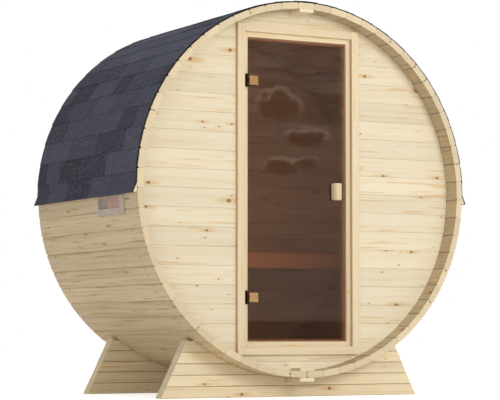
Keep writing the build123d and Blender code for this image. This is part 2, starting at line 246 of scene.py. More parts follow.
def mark(piece, name, domain, values, kind="FLOAT", field="value"):
    layer = piece.data.attributes.get(name) or piece.data.attributes.new(name, kind, domain)
    layer.data.foreach_set(field, values)


# Each board carries where its points lie along, across and through it, so that grain follows the board
grainShift = ((0, 40), (0, 40), (0, 5))
toneShift = (-1, 1)


def markGrain(piece, lengthways, sideways, seed, boardOf=None, seamOf=None, stainOf=None):
    axes = (lengthways, sideways, axisX + axisY + axisZ - lengthways - sideways)
    corners, faces = piece.data.vertices, piece.data.polygons
    places, tones, shifts = [], [], {}
    for corner in corners:
        board = boardOf(corner.co) if boardOf else 0
        if board not in shifts:
            chance = random.Random(seed * 1000 + board)
            shifts[board] = [chance.uniform(*span) for span in grainShift + (toneShift,)]
        places += [corner.co[axis] + shift for axis, shift in zip(axes, shifts[board])]
        tones.append(shifts[board][-1])
    mark(piece, "grain", "POINT", places, "FLOAT_VECTOR", "vector")
    mark(piece, "tone", "POINT", tones)
    # painted shade: this seam mark darkens the casing's uprights towards the wall
    mark(piece, "seam", "POINT", [seamOf(corner.co) if seamOf else 0.0 for corner in corners])
    mark(piece, "sawn", "FACE", [1.0 if abs(face.normal[lengthways]) > endOn else 0.0 for face in faces])
    # painted shade and dark joints go into this per-face mark
    mark(piece, "stain", "FACE", [stainOf(face) if stainOf else 0.0 for face in faces])
    return piece


def nodeOf(name):  # frontCradle stands for front_cradle
    return "".join("_" + letter.lower() if letter.isupper() else letter for letter in name)


def dress(piece, material, body="cabin"):
    piece.data.materials.clear()
    piece.data.materials.append(material)
    for face in piece.data.polygons:
        face.material_index = 0
    nodes = [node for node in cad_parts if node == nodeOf(piece.name)]
    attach(piece, body)
    if nodes:
        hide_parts(*nodes)


def finishBoard(piece, material, lengthways, sideways, seed, smooth=None, body="cabin", **marks):
    tidyMesh(piece, smooth)
    markGrain(piece, lengthways, sideways, seed, **marks)
    dress(piece, material, body)


# Node helpers
canvas = {}  # holds the node tree that is being drawn


def feed(node, **inputs):  # i0, i1 and so on are socket numbers, other words are socket names
    for name, value in inputs.items():
        key = int(name[1:]) if name[1:].isdigit() else name.replace("_", " ")
        if isinstance(value, bpy.types.NodeSocket):
            canvas["tree"].links.new(value, node.inputs[key])
        else:
            node.inputs[key].default_value = value
    return node


def addNode(kind, settings=None, **inputs):
    made = canvas["tree"].nodes.new("ShaderNode" + kind)
    for name, value in (settings or {}).items():
        setattr(made, name, value)
    return feed(made, **inputs)


def mathNode(operation, a, b, clamp=False):
    return addNode("Math", {"operation": operation, "use_clamp": clamp}, i0=a, i1=b).outputs[0]


def times(a, b):
    return mathNode("MULTIPLY", a, b)


def vectorNode(operation, a, b):
    return addNode("VectorMath", {"operation": operation}, i0=a, i1=b).outputs[0]


def lengthOf(vector, scale):
    scaled = vectorNode("MULTIPLY", vector, scale)
    return addNode("VectorMath", {"operation": "LENGTH"}, i0=scaled).outputs["Value"]


def spread(value, low, high, newLow=0.0, newHigh=1.0):
    ends = {"i1": low, "i2": high, "i3": newLow, "i4": newHigh}
    return addNode("MapRange", {"interpolation_type": "SMOOTHSTEP"}, i0=value, **ends).outputs[0]


def mixColour(amount, a, b, blend="MIX"):
    return addNode("Mix", {"data_type": "RGBA", "blend_type": blend}, i0=amount, i6=a, i7=b).outputs[2]


def noise(place, scale, detail=2.0, rough=0.5):  # three scales stretch it
    if isinstance(scale, tuple):
        place, scale = vectorNode("MULTIPLY", place, scale), 1.0
    return addNode("TexNoise", None, Vector=place, Scale=scale, Detail=detail, Roughness=rough).outputs[0]


def bump(strength, distance, height):
    return addNode("Bump", None, Strength=strength, Distance=distance, Height=height).outputs[0]


def readMark(name, output="Fac"):
    return addNode("Attribute", {"attribute_name": name}).outputs[output]


def objectPlace():
    return addNode("TexCoord").outputs["Object"]


def newGroup(name, inputs, outputs):
    canvas["tree"] = tree = bpy.data.node_groups.new(name, "ShaderNodeTree")
    for label, kind in inputs:
        tree.interface.new_socket(label, in_out="INPUT", socket_type="NodeSocket" + kind)
    for label in outputs:
        tree.interface.new_socket(label, in_out="OUTPUT", socket_type="NodeSocketFloat")
    return tree, tree.nodes.new("NodeGroupInput").outputs, tree.nodes.new("NodeGroupOutput")


def newMaterial(name):
    material = bpy.data.materials.new(name)
    material.use_nodes = True
    canvas["tree"] = material.node_tree
    return material, material.node_tree.nodes["Principled BSDF"]


# Spruce figure: growth streaks, honey flecks, and large and small knots with a drawn-out halo
knotKinds = (  # cells in a metre, share of cells without a knot, least and greatest radius
    (5.0, 0.80, 0.004, 0.0105),
    (10.0, 0.82, 0.0015, 0.0035),
)


def makeFigure():
    tree, given, out = newGroup(
        "spruceFigure", (("Grain", "Vector"), ("Knot Size", "Float")), ("Streak", "Honey", "Knot", "Halo", "Height"))
    place, knotSize = given["Grain"], given["Knot Size"]
    wander = times(noise(place, (1.2, 6, 6)), 0.03)
    bent = vectorNode("ADD", place, addNode("CombineXYZ", None, Y=wander).outputs[0])
    broad = times(noise(bent, (1.0, 46, 30), 3.0, 0.55), 0.7)
    fine = times(noise(bent, (5, 260, 200), 2.0, 0.6), 0.3)
    streak = spread(mathNode("ADD", broad, fine), 0.38, 0.68)
    honey = spread(noise(bent, (2.6, 60, 40)), 0.58, 0.72)
    knots, halos = [], []
    for cells, rarity, least, most in knotKinds:
        cell = addNode("TexVoronoi", {"voronoi_dimensions": "2D"}, Vector=place, Scale=cells).outputs
        luck = addNode("SeparateColor", None, Color=cell["Color"]).outputs
        chosen = mathNode("GREATER_THAN", luck[0], rarity)
        radius = mathNode("ADD", times(luck[1], most - least), least)
        radius = times(radius, knotSize)
        reach = vectorNode("SUBTRACT", place, cell["Position"])
        for found, squeeze, outer, inner in ((knots, 0.7, 1.2, 0.7), (halos, 0.2, 2.4, 0.6)):
            away = mathNode("DIVIDE", lengthOf(reach, (squeeze, 1, 0)), radius)
            found.append(times(spread(away, outer, inner), chosen))
    knot = mathNode("MAXIMUM", *knots)
    halo = mathNode("MAXIMUM", halos[0], times(halos[1], 0.5))
    height = mathNode("SUBTRACT", times(streak, 0.4), times(knot, 0.6))
    feed(out, Streak=streak, Honey=honey, Knot=knot, Halo=halo, Height=height)
    return tree


# Fine grit for rough surfaces: a mottle, single granules and a height
def makeGrit():
    tree, given, out = newGroup(
        "gritMottle", (("Place", "Vector"), ("Size", "Float")), ("Mottle", "Granule", "Height"))
    place, size = given["Place"], given["Size"]
    mottle = noise(place, mathNode("DIVIDE", 0.9, size), 2.0, 0.65)
    cell = addNode("TexVoronoi", None, Vector=place, Scale=mathNode("DIVIDE", 1.0, size)).outputs
    granule = addNode("SeparateColor", None, Color=cell["Color"]).outputs[0]
    feed(out, Mottle=mottle, Granule=granule, Height=mathNode("SUBTRACT", 1.0, cell["Distance"]))
    return tree


figure = makeFigure()
grit = makeGrit()


def linear(red, green, blue):  # a colour as a screen shows it, 0 to 255
    shares = [c / 255 for c in (red, green, blue)]
    return tuple(((c + 0.055) / 1.055) ** 2.4 if c > 0.04 else c / 12.92 for c in shares) + (1,)


def spruce(name, tints, streaks=0.5, knots=1.0, knotSize=1.0, tones=0.06, marked=True):
    material, shader = newMaterial(name)
    pale, honey, streak, knot, seam = (linear(*tint) for tint in tints)
    place = readMark("grain", "Vector") if marked else objectPlace()  # CAD nodes have no board marks
    grain = addNode("Group", {"node_tree": figure}, Grain=place, Knot_Size=knotSize).outputs
    sawn = readMark("sawn")
    faced = mathNode("SUBTRACT", 1.0, sawn)  # sawn ends show rings, not streaks and knots
    colour = pale
    for mask, amount, tint in (
        ("Streak", streaks, streak), ("Honey", 0.7, honey), ("Halo", 0.7 * knots, honey), ("Knot", 0.85 * knots, knot),
    ):
        share = times(times(grain[mask], amount), faced)
        colour = mixColour(share, colour, tint)
    rings = spread(noise(place, (0, 90, 420)), 0.4, 0.65)
    colour = mixColour(times(rings, times(sawn, 0.3)), colour, streak)
    if marked:
        level = mathNode("ADD", times(readMark("tone"), tones), 1.0)
        shade = addNode("CombineColor", None, i0=level, i1=level, i2=level).outputs[0]
        colour = mixColour(1.0, colour, shade, "MULTIPLY")
        # dark joints and painted shade pull the colour towards the fifth tint
        joint = mathNode("MAXIMUM", times(readMark("seam"), 0.8), readMark("stain"))
        colour = mixColour(joint, colour, seam)
    feed(shader, Base_Color=colour, Roughness=spread(grain["Streak"], 0, 1, 0.56, 0.68),
         Normal=bump(0.25, 0.0008, grain["Height"]), Specular_IOR_Level=0.3)
    return material


# Tints in order: pale wood, honey flecks, growth streaks, knots, and joints with painted shade
staveSpruce = spruce("staveSpruce", (
    (231, 215, 182), (198, 158, 106), (206, 180, 136), (108, 68, 40), (92, 54, 16),
), streaks=0.62, knots=0.85, knotSize=0.75, tones=0.08)
wallSpruce = spruce("wallSpruce", (
    (239, 229, 203), (224, 191, 135), (227, 210, 175), (150, 92, 44), (196, 166, 116),
), knotSize=1.25)
frameSpruce = spruce("frameSpruce", (
    (243, 229, 197), (222, 188, 132), (224, 202, 162), (136, 86, 46), (150, 120, 76),
))
# its last tint is also the painted shade on the frame's lip and beside the wall
trimSpruce = spruce("trimSpruce", (
    (235, 219, 187), (222, 190, 136), (228, 206, 166), (140, 90, 48), (178, 114, 68),
), knots=0.8)
# painted light: a brighter, redder copy of the spruce, so the bench shows lit behind the glass
benchSpruce = spruce("benchSpruce", (
    (250, 204, 156), (230, 170, 112), (238, 186, 134), (112, 66, 38), (120, 76, 46),
))
# painted shade: the deck is a dark copy of the spruce, for the floor in shade
deckSpruce = spruce("deckSpruce", (
    (66, 44, 36), (58, 38, 30), (54, 36, 28), (40, 26, 20), (34, 22, 18),
))
innerSprucePlain = spruce("innerSprucePlain", (
    (214, 178, 130), (186, 136, 84), (190, 148, 98), (96, 58, 34), (90, 62, 40),
), marked=False)
gripSpruce = spruce("gripSpruce", (
    (236, 219, 184), (214, 178, 118), (220, 192, 142), (120, 78, 44), (140, 114, 76),
), knots=0.0)
# painted shade: a darker, redder copy of the grip's spruce for the grip behind the glass
gripRed = spruce("gripRed", (
    (150, 84, 62), (126, 66, 46), (132, 72, 52), (96, 48, 34), (90, 50, 36),
), knots=0.0)
print("wood finishes made")


def makeShingle():
    material, shader = newMaterial("slateShingle")
    grain = addNode("Group", {"node_tree": grit}, Place=objectPlace(), Size=0.0075).outputs
    colour = mixColour(readMark("tone"), linear(47, 48, 58), linear(93, 96, 113))
    colour = mixColour(spread(grain["Mottle"], 0.35, 0.65, 0.0, 0.6), colour, linear(42, 43, 54))
    colour = mixColour(spread(grain["Granule"], 0.5, 1.0, 0.0, 0.42), colour, linear(120, 124, 146))
    colour = mixColour(readMark("sawn"), colour, linear(34, 34, 38))  # cut ends show the dark felt
    feed(shader, Base_Color=colour, Roughness=spread(grain["Granule"], 0, 1, 0.82, 0.95),
         Normal=bump(0.5, 0.001, grain["Height"]), Specular_IOR_Level=0.2)
    return material


def makeMetal(name, colour, worn, dulled, rough):
    material, shader = newMaterial(name)
    place = objectPlace()
    brushed = noise(place, (900, 900, 60), 3.0)
    tint = mixColour(spread(noise(place, 60.0), 0.4, 0.7), linear(*colour), linear(*worn))
    feed(shader, Base_Color=mixColour(readMark("stain"), tint, linear(*dulled)), Metallic=1.0,
         Roughness=spread(brushed, 0.3, 0.7, rough - 0.07, rough + 0.09),
         Normal=bump(0.08, 0.0003, brushed))
    return material


def makeGlass():
    material, shader = newMaterial("bronzeGlass")
    smear = noise(objectPlace(), (3, 3, 1.2), 3.0)
    feed(shader, Base_Color=linear(214, 180, 158), Roughness=spread(smear, 0.45, 0.8, 0.0, 0.03),
         Transmission_Weight=1.0, IOR=1.45)
    return material


def makePlastic(name, colour, faded):
    material, shader = newMaterial(name)
    place = objectPlace()
    grain = addNode("Group", {"node_tree": grit}, Place=place, Size=0.002).outputs
    patches = spread(noise(place, 14.0, 3.0), 0.35, 0.7)
    feed(shader, Base_Color=mixColour(patches, linear(*colour), linear(*faded)),
         Roughness=spread(grain["Mottle"], 0.2, 0.8, 0.45, 0.6), Normal=bump(0.15, 0.0003, grain["Height"]))
    return material


slateShingle = makeShingle()
goldBronze = makeMetal("goldBronze", (186, 158, 113), (174, 145, 101), (62, 44, 32), 0.36)
darkBronze = makeMetal("darkBronze", (62, 44, 32), (78, 54, 38), (50, 36, 28), 0.4)
screwSteel = makeMetal("screwSteel", (50, 43, 38), (70, 62, 58), (44, 38, 34), 0.45)
bronzeGlass = makeGlass()
ventLilac = makePlastic("ventLilac", (200, 188, 174), (190, 176, 164))
ventRed = makePlastic("ventRed", (196, 158, 144), (184, 144, 132))
print("other finishes made")

# Staves: one wedge with bevelled outer edges, tongue and groove, then copies round the barrel
stave = {
    "bevel": 0.0065, "inner": 0.0026, "end": 0.001, "mouth": 0.0012, "tongue": 0.010, "reach": 0.008,
    "spare": 0.0003, "slack": 0.005, "ventStave": 16, "seed": 200,
}
# Dark joints, and painted shade on the edges under the roof and on the staves' inner faces
staveGrimeAndShade = {"joint": 1.0, "innerEdge": 0.6, "roofShadeEdge": 1.0, "bareEdge": 0.045, "innerFaceShade": 0.31}
ventOpening = {"front": 0.235, "length": 0.274, "height": 0.060, "drop": 0.0098}
staveMiddle = (outerTop + innerTop) / 2
ventFront = barrelFront + ventOpening["front"]
ventBack = ventFront + ventOpening["length"]
ventLow = -ventOpening["drop"] - ventOpening["height"] / 2
ventHigh = ventLow + ventOpening["height"]


def ventTool():
    return addBox("ventTool", (ventLow, ventFront, innerTop - past), (ventHigh, ventBack, outerTop + past))


def onFlank(place):
    return abs(abs(place.x) - (place.z - axisHeight) * tan(halfTurn)) < 2 * speck


def flankFaces(side, reach):
    return lambda face: face.normal.x * side > square and abs(face.calc_center_median().z - staveMiddle) < reach


def grooveEdges(reach, spare):
    def test(edge):
        place = edgeMiddle(edge)
        return runsAlong(edge, axisY) and place.x < 0 and abs(abs(place.z - staveMiddle) - reach) < spare

    return test


def makeStaveBlank(name, slack):
    halfTongue = stave["tongue"] / 2
    halfGroove = halfTongue + slack
    blank = addBox(name, (-halfFace, barrelFront, innerTop), (halfFace, barrelRear, outerTop))
    openEdit(blank, "FACE", lambda face: face.normal.z < -square)
    bpy.ops.transform.resize(value=(innerFlat / outerFlat, 1, 1), center_override=(0, 0, innerTop))
    closeEdit()
    bevelEdges(blank, stave["bevel"], 1, along(axisY), above(outerTop - touch))
    for level in sorted({-halfGroove, -halfTongue, halfTongue, halfGroove}):
        cutAt(blank, (0, 0, staveMiddle + level), (0, 0, 1))
    pullFaces(blank, flankFaces(1, halfTongue), (stave["reach"], 0, 0))
    if slack:
        dissolveEdges(blank, grooveEdges(halfTongue, speck))
    pullFaces(blank, flankFaces(-1, halfGroove), (stave["reach"] + stave["spare"], 0, 0))
    dissolveEdges(blank, lambda e: e.calc_face_angle(0) > 3.1)  # the groove runs out at the ends
    bevelEdges(blank, stave["mouth"], 1, grooveEdges(halfGroove, 3 * speck), lambda e: onFlank(edgeMiddle(e)))
    bevelEdges(blank, stave["inner"], 1, along(axisY), below(innerTop + hair))
    atEnd = lambda corner: abs(corner.co.y) > barrelRear - speck and onFlank(corner.co)
    bevelEdges(blank, stave["end"], 1, lambda e: all(atEnd(corner) for corner in e.verts))
    return blank


def staveStainAndShade(face, roofed):  # joints are darker, and painted shade makes the edges under the roof darkest and the inner faces darker and warmer
    slant, level = abs(face.normal.x), face.center.z
    if abs(face.normal.y) > square:
        return 0.0
    if slant > 0.95 or abs(level - staveMiddle) < stave["tongue"] / 2 + stave["slack"] + touch:
        return staveGrimeAndShade["joint"]
    if slant > slanted:
        return staveGrimeAndShade["innerEdge" if level < staveMiddle else "roofShadeEdge" if roofed else "bareEdge"]
    return staveGrimeAndShade["innerFaceShade"] if face.normal.z < 0 else 0.0


def makeStaves():
    blank = makeStaveBlank("staveBlank", 0.0)
    closer = makeStaveBlank("closerBlank", stave["slack"])  # driven in last, with a slack groove
    quarter = halfCount // 2
    groups = {"ridgeStave": [0], "ventStave": [-stave["ventStave"]]}
    for side, sign in (("right", 1), ("left", -1)):
        for part, first, last in (("Upper", 1, quarter), ("Lower", quarter + 1, halfCount)):
            for row, start in (("A", first), ("B", first + 1)):
                numbers = [sign * number for number in range(start, last + 1, 2)]
                groups[f"{side}{part}Staves{row}"] = [n for n in numbers if n != -stave["ventStave"]]
    for name, numbers in groups.items():
        made = []
        for number in numbers:
            one = copyOf(closer if number == -halfCount else blank, f"stave{number + halfCount}")
            if name == "ventStave":
                carve(one, ventTool())
                openEdit(one, "VERT")  # the cut leaves slits without width in the end faces
                bpy.ops.mesh.fill_holes(sides=4)
                bpy.ops.mesh.dissolve_limited(angle_limit=0.001)
                closeEdit()
            roofed = abs(number) < barrel["eaveStave"]
            markGrain(one, axisY, axisX, number + stave["seed"], stainOf=lambda face: staveStainAndShade(face, roofed))
            made.append(turnTo(one, number))
        dress(tidyMesh(joinAll(made, name)), staveSpruce)
    drop(blank)
    drop(closer)


makeStaves()
print("staves made")

# Screws through the staves into the edges of the end walls, where they show below the eaves
screws = {
    "radius": 0.0054, "length": 0.003, "sides": 10, "rise": 0.0006, "rim": 0.0016, "hollow": 0.0008,
    "fromSeam": 0.0118, "offMiddle": 0.004, "fromFace": 0.018,
}


def makeScrews():
    middle = outerTop + screws["rise"] - screws["length"] / 2
    blank = addRound("screwBlank", screws["radius"], screws["length"], (0, 0, middle), screws["sides"])
    openEdit(blank, "FACE", lambda face: face.normal.z > square)
    bpy.ops.mesh.inset(thickness=screws["rim"])
    bpy.ops.transform.translate(value=(0, 0, -screws["hollow"]))
    closeEdit()
    made = []
    for number in [n for n in range(-halfCount, halfCount + 1) if abs(n) > barrel["eaveStave"]]:
        nearSeam = (halfFace - screws["fromSeam"]) * (1 if number < 0 else -1)
        for plane in (wallFront + screws["fromFace"], rearWallBack - screws["fromFace"]):
            for across in (nearSeam, screws["offMiddle"]):
                if number == -stave["ventStave"] and plane < 0 and across == nearSeam:
                    continue  # the vent's rail is there
                one = copyOf(blank, f"screw{len(made)}")
                one.location = (across, plane, 0)
                made.append(turnTo(settle(one, one.name), number))
    drop(blank)
    dress(tidyMesh(joinAll(made, "wallScrews")), screwSteel)


makeScrews()
print("screws made")

# End walls: level boards with a V joint, cut round to the barrel
wallBoard = {
    "pitch": 0.1088, "seamAt": -0.0085, "vee": 0.0016, "gap": 0.0006, "cheek": 0.012, "tongue": 0.004,
    "least": 0.004, "tongueEnd": 0.006, "tongueLeast": 0.02, "stain": 0.05, "seed": 31,
}
# the end share is painted shade on sawn sides, such as the cradles' slanted ends
jointStainAndShade = {"depth": 0.8, "end": 0.14}
wallReach = innerRadius + past


def stackBoards(name, rows, left, right, front, back, vee):
    made = [addBox(name, (left, front, low), (right, back, high)) for low, high in rows]
    for board, (low, high) in zip(made, rows):
        bevelEdges(board, min(vee, (high - low) / 3), 1, along(axisX))
    return joinAll(made, name)


def wallRows(low, high):
    pitch, seam = wallBoard["pitch"], wallBoard["seamAt"]
    for row in range(floor((low - seam) / pitch), ceil((high - seam) / pitch)):
        start, stop = max(low, seam + row * pitch), min(high, seam + (row + 1) * pitch)
        if stop - start > wallBoard["least"]:
            yield start, stop


def wallRowOf(place):
    return floor((place.z - axisHeight - wallBoard["seamAt"]) / wallBoard["pitch"])


def veeStainAndShade(amount):  # joints between boards are darker, and painted shade darkens the sawn sides
    def stainOf(face):
        lean = abs(face.normal.y)
        if lean > square or abs(face.normal.x) > slanted:
            return 0.0 if lean > slanted else jointStainAndShade["end"]
        return amount if lean > slanted else jointStainAndShade["depth"]
    return stainOf


def makeWall(name, left, right, low, high, front, seed):
    back = front + barrel["wall"]
    halfGap, cheek, tongue = wallBoard["gap"] / 2, wallBoard["cheek"], wallBoard["tongue"]
    rows = [(axisHeight + start + halfGap, axisHeight + stop - halfGap) for start, stop in wallRows(low, high)]
    wall = stackBoards(name, rows, left, right, front, back, wallBoard["vee"])
    carve(wall, barrelTool(innerRadius, (front + back) / 2), "INTERSECT")
    made = [tidyMesh(wall)]
    for start, stop in wallRows(low, high):  # loose tongues keep the light out of the joints
        reach = sqrt(max(innerRadius ** 2 - stop ** 2, 0)) - wallBoard["tongueEnd"]
        near, far = max(left, -reach), min(right, reach)
        if stop < high - touch and far - near > wallBoard["tongueLeast"]:
            made.append(addBox("tongue", (near + touch, front + cheek, axisHeight + stop - tongue),
                               (far - touch, back - cheek, axisHeight + stop + tongue)))
    wall = joinAll(made, name)
    dress(markGrain(wall, axisX, axisZ, seed, wallRowOf, stainOf=veeStainAndShade(wallBoard["stain"])), wallSpruce)


for number, wallPanel in enumerate((
    ("frontWallLeft", -wallReach, -frameOuter, -innerRadius, innerRadius, wallFront),
    ("frontWallRight", frameOuter, wallReach, -innerRadius, innerRadius, wallFront),
    ("frontWallTop", -frameOuter, frameOuter, frameOuterTop, innerRadius, wallFront),
    ("frontWallBottom", -frameOuter, frameOuter, -innerRadius, -frameOuterTop, wallFront),
    ("rearWall", -wallReach, wallReach, -innerRadius, innerRadius, rearWallFront),
)):
    makeWall(*wallPanel, wallBoard["seed"] + number)
print("end walls made")

# Cradles: five boards each, sides leaning in, a round saddle and a notch for the keel
cradle = {
    "boards": 5, "height": 0.323, "thick": 0.070, "setIn": 0.167, "landing": 0.043, "spread": 0.162,
    "vee": 0.0025, "gap": 0.0006, "notchHalf": 0.049, "notchDeep": 0.024, "stain": 0.5, "seed": 41,
}


def makeCradle(name, front, seed):
    saddle = barrel["radius"] + barrel["seat"]
    topHalf = sqrt(saddle ** 2 - (cradle["height"] - axisHeight) ** 2) + cradle["landing"]
    footHalf = topHalf + cradle["spread"]
    pitch = cradle["height"] / cradle["boards"]
    last, halfGap = cradle["boards"] - 1, cradle["gap"] / 2
    back = front + cradle["thick"]
    rows = [(row * pitch + (halfGap if row else 0), (row + 1) * pitch - (halfGap if row < last else 0))
            for row in range(cradle["boards"])]
    piece = stackBoards(name, rows, -footHalf - past, footHalf + past, front, back, cradle["vee"])
    for side in (-1, 1):
        cutAt(piece, (side * footHalf, front, 0), (side * cradle["height"], 0, cradle["spread"]), trim=True)
    carve(piece, barrelTool(saddle, (front + back) / 2))
    notch = cradle["notchHalf"]
    carve(piece, addBox("notchTool", (-notch, front - past, barrelBase - cradle["notchDeep"]),
                        (notch, back + past, barrelBase + past)))
    rowOf = lambda place: min(last, floor((place.z + speck) / pitch))
    finishBoard(piece, frameSpruce, axisX, axisZ, seed, boardOf=rowOf, stainOf=veeStainAndShade(cradle["stain"]))


makeCradle("frontCradle", barrelFront + cradle["setIn"], cradle["seed"])
makeCradle("rearCradle", barrelRear - cradle["setIn"] - cradle["thick"], cradle["seed"] + 1)
print("cradles made")

# Stop blocks in the barrel's mouths and the keel batten below
block = {"half": 0.0465, "height": 0.017, "bevel": 0.0015, "seed": 51}
keel = {"half": 0.047, "height": 0.022, "bevel": 0.002, "seed": 53}


def makeBlocks():
    half, tall = block["half"], block["height"]
    dip = half * tan(halfTurn)  # the bottom block lies in the joint between two staves
    seat = axisHeight - innerFlat / cos(halfTurn) + dip
    for end, front, back in (("front", barrelFront, wallFront), ("rear", rearWallBack, barrelRear)):
        top = addBox(f"{end}TopBlock", (-half, front, innerTop - tall), (half, back, innerTop))
        bevelEdges(top, block["bevel"], 2, below(innerTop - touch))
        finishBoard(top, frameSpruce, axisX, axisY, block["seed"])
        low = addBox(f"{end}BottomBlock", (-half, front, seat), (half, back, seat + tall))
        bevelEdges(low, block["bevel"], 2, above(seat + touch))
        cutAt(low, (0, 0, 0), (1, 0, 0))
        moveCorners(low, lambda v: abs(v.co.x) < speck and v.co.z < seat + speck, (0, 0, -dip))
        finishBoard(low, frameSpruce, axisX, axisY, block["seed"] + 1)
    batten = addBox("keelBatten", (-keel["half"], barrelFront, barrelBase - keel["height"]),
                    (keel["half"], barrelRear, barrelBase))
    bevelEdges(batten, keel["bevel"], 2, below(barrelBase - touch))
    finishBoard(batten, frameSpruce, axisY, axisX, keel["seed"])


makeBlocks()
print("blocks and keel made")

# Door casing and frame
casing = {"thick": 0.023, "bevel": 0.002, "seed": 61}
doorFrame = {"depth": 0.052, "lip": 0.014, "lipStart": 0.023, "bevel": 0.0015, "lipShade": 0.5, "seed": 71}
smoothTrim = 40


def surround(names, inner, outer, innerTall, outerTall, seed):  # two uprights, then the sill and head between them
    for number, name in enumerate(names):
        side, upright = (-1, 1)[number % 2], number < 2
        wide = (side * inner, side * outer) if upright else (-inner, inner)
        tall = (-outerTall, outerTall) if upright else (side * innerTall, side * outerTall)
        grain = (axisZ, axisX, seed + side) if upright else (axisX, axisZ, seed + 4 + side)
        yield name, side, sorted(wide), sorted(axisHeight + level for level in tall), grain


def makeCasing():
    front = wallFront - casing["thick"]
    # painted shade: the uprights darken towards the wall
    shadeAtWall = lambda place: 1.0 if place.y > wallFront - touch else 0.0
    names = ("casingPostLeft", "casingPostRight", "casingSill", "casingHead")
    sizes = (casingInner, casingOuter, casingInnerTop, casingTop, casing["seed"])
    for name, side, (left, right), (low, high), grain in surround(names, *sizes):
        piece = addBox(name, (left, front, low), (right, wallFront, high))
        bevelEdges(piece, casing["bevel"], 2, below(front + touch, axisY))
        finishBoard(piece, trimSpruce, *grain, smoothTrim, seamOf=shadeAtWall if grain[0] == axisZ else None)


def makeDoorFrame():
    back = wallFront + doorFrame["depth"]
    lipFront, lip = wallFront + doorFrame["lipStart"], doorFrame["lip"]
    lipShade = lambda face: doorFrame["lipShade"] if face.center.y > lipFront - touch else 0.0  # painted shade on the lip behind the glass
    names = ("jambLeft", "jambRight", "frameSill", "frameHead")
    sizes = (halfWide, frameOuter, halfTall, frameOuterTop, doorFrame["seed"])
    for name, side, (left, right), (low, high), grain in surround(names, *sizes):
        lengthways, inward = grain[0], grain[1]
        piece = addBox(name, (left, wallFront, low), (right, back, high))
        bevelEdges(piece, doorFrame["bevel"], 2, along(lengthways), below(wallFront + touch, axisY))
        cutAt(piece, (0, lipFront, 0), (0, 1, 0))
        onLip = lambda f: f.normal[inward] * side < -square and f.calc_center_median().y > lipFront
        pullFaces(piece, onLip, [-side * lip if axis == inward else 0 for axis in (axisX, axisY, axisZ)])
        for end in (-1, 1) if lengthways == axisX else ():  # the jambs' lips pass the ends of sill and head
            near, far = sorted((end * (halfWide - lip), end * (halfWide + past)))
            carve(piece, addBox("lipTool", (near, lipFront, low - past), (far, back + past, high + past)))
        finishBoard(piece, trimSpruce, *grain, smoothTrim, stainOf=lipShade)


makeCasing()
makeDoorFrame()
print("casing and frame made")

# Glass leaf, grips and hinges
glass = {"setIn": 0.010, "thick": 0.008, "gap": 0.006, "edge": 0.0012}
grip = {
    "half": 0.030, "depth": 0.044, "height": 0.100, "inset": 0.065, "round": 0.007, "sides": 56, "smooth": 50,
    "seed": 81,
}
hinge = {
    "inset": 0.252, "smooth": 40, "fineEdge": 0.0006,
    "leafWide": 0.022, "leafTall": 0.076, "leafThick": 0.003, "leafCorner": 0.003,
    "pin": 0.003, "pinIn": 0.006, "pinShort": 0.001, "pinSides": 20, "bore": 0.0002,
    "knuckle": 0.007, "knuckleSides": 28, "knuckleEdge": 0.001, "webEdge": 0.0005, "middle": 0.026,
    "slack": 0.0005, "air": 0.001, "screw": 0.0035, "screwSides": 16, "screwTall": 0.0016, "screwSink": 0.0006,
    "screwIn": 0.0042, "screwApart": 0.024,
    "clampWide": 0.058, "clampTall": 0.054, "clampEdge": 0.004, "clampDeep": 0.024, "corner": 0.004, "edge": 0.0015,
    "backDeep": 0.006, "backWide": 0.034, "tongue": 0.008, "tongueIn": 0.002,
}
glassFront = wallFront + glass["setIn"]
glassBack = glassFront + glass["thick"]


def makeGlassLeaf():
    wide, tall = halfWide - glass["gap"], halfTall - glass["gap"]
    leaf = addBox("doorGlass", (-wide, glassFront, axisHeight - tall), (wide, glassBack, axisHeight + tall))
    bevelEdges(leaf, glass["edge"], 2)
    dress(tidyMesh(leaf), bronzeGlass, "door")


def makeGrips():
    across = halfWide - grip["inset"]
    for name, face, side, finish in (("outerGrip", glassFront, -1, gripSpruce), ("innerGrip", glassBack, 1, gripRed)):
        piece = addRound(name, grip["half"], grip["height"], (0, 0, 0), grip["sides"])
        piece.scale = (1, grip["depth"] / grip["half"], 1)
        piece.location = (across, face, axisHeight)
        settle(piece, name)
        cutAt(piece, (across, face, 0), (0, -side, 0), trim=True)
        bevelEdges(piece, grip["round"], 4, notAlong(axisZ), lambda e: abs(edgeMiddle(e).y - face) > hair)
        finishBoard(piece, finish, axisZ, axisX, grip["seed"], grip["smooth"], "door")


